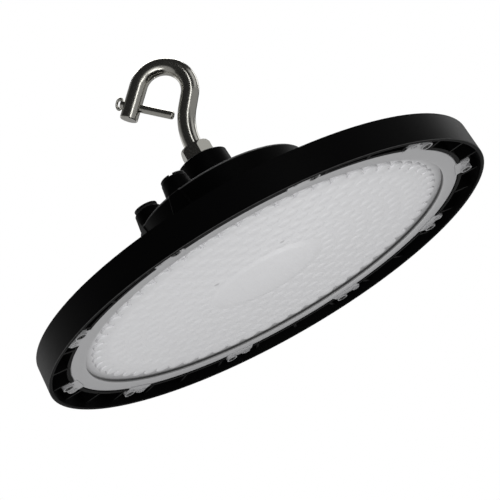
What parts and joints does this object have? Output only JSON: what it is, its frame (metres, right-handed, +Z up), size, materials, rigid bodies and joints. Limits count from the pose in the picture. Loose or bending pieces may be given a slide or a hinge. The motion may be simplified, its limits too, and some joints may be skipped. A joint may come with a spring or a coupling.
{
  "type": "high bay light",
  "caption": "Round black LED high bay light with a finned cast rim, a milky lens plate of small lenses below, a driver housing on top and a steel hanging hook with a safety pin.",
  "frame": {"origin": "centre of the rim's bottom edge, on the axis of the light", "axes": "+Z up along the light's axis, from the lens to the hook; the hook's loop lies in the XZ plane with its open tip on the -X side"},
  "size_m": [0.31, 0.31, 0.172],
  "materials": {
    "black_coat": "satin black powder coat",
    "milky_lens": "frosted translucent polycarbonate",
    "stainless": "satin stainless steel",
    "zinc_steel": "bright zinc",
    "silicone": "matte silicone",
    "black_rubber": "matte rubber",
    "white_board": "white solder mask on aluminium",
    "led": "phosphor",
    "pad_grey": "soft thermal pad",
    "green_board": "solder mask",
    "black_plastic": "moulded",
    "copper": "enamelled copper",
    "capacitor_sleeve": "sleeve",
    "yellow_case": "moulded case",
    "green_block": "moulded",
    "blue_disc": "dipped",
    "bare_aluminium": "bare",
    "fuse_glass": "clear",
    "lead_red": "insulation"
  },
  "bodies": {
    "root": {"heat_sink": "black_coat", "lens_cover": "milky_lens", "lens_gasket": "silicone", "lens_screws": "stainless", "led_board": "white_board", "led_chips": "led", "thermal_pad": "pad_grey", "board_screws": "zinc_steel", "driver_housing": "black_coat", "housing_gasket": "silicone", "housing_screws": "stainless", "hook": "stainless", "hook_nut": "stainless", "hook_set_screw": "zinc_steel", "split_pin": "stainless", "cable_seal": "black_rubber", "entry_gland": "black_plastic", "blanking_plug": "black_plastic", "plug_seal": "black_rubber", "driver_board": "green_board", "board_pillars": "zinc_steel", "driver_screws": "zinc_steel", "transformer": "yellow_case", "choke": "copper", "bulk_capacitors": "capacitor_sleeve", "input_capacitor": "yellow_case", "power_transistors": "black_plastic", "transistor_strip": "bare_aluminium", "terminal_block": "green_block", "fuse": "fuse_glass", "surge_disc": "blue_disc", "led_leads": "lead_red", "lead_grommet": "black_rubber"}
  },
  "joints": []
}
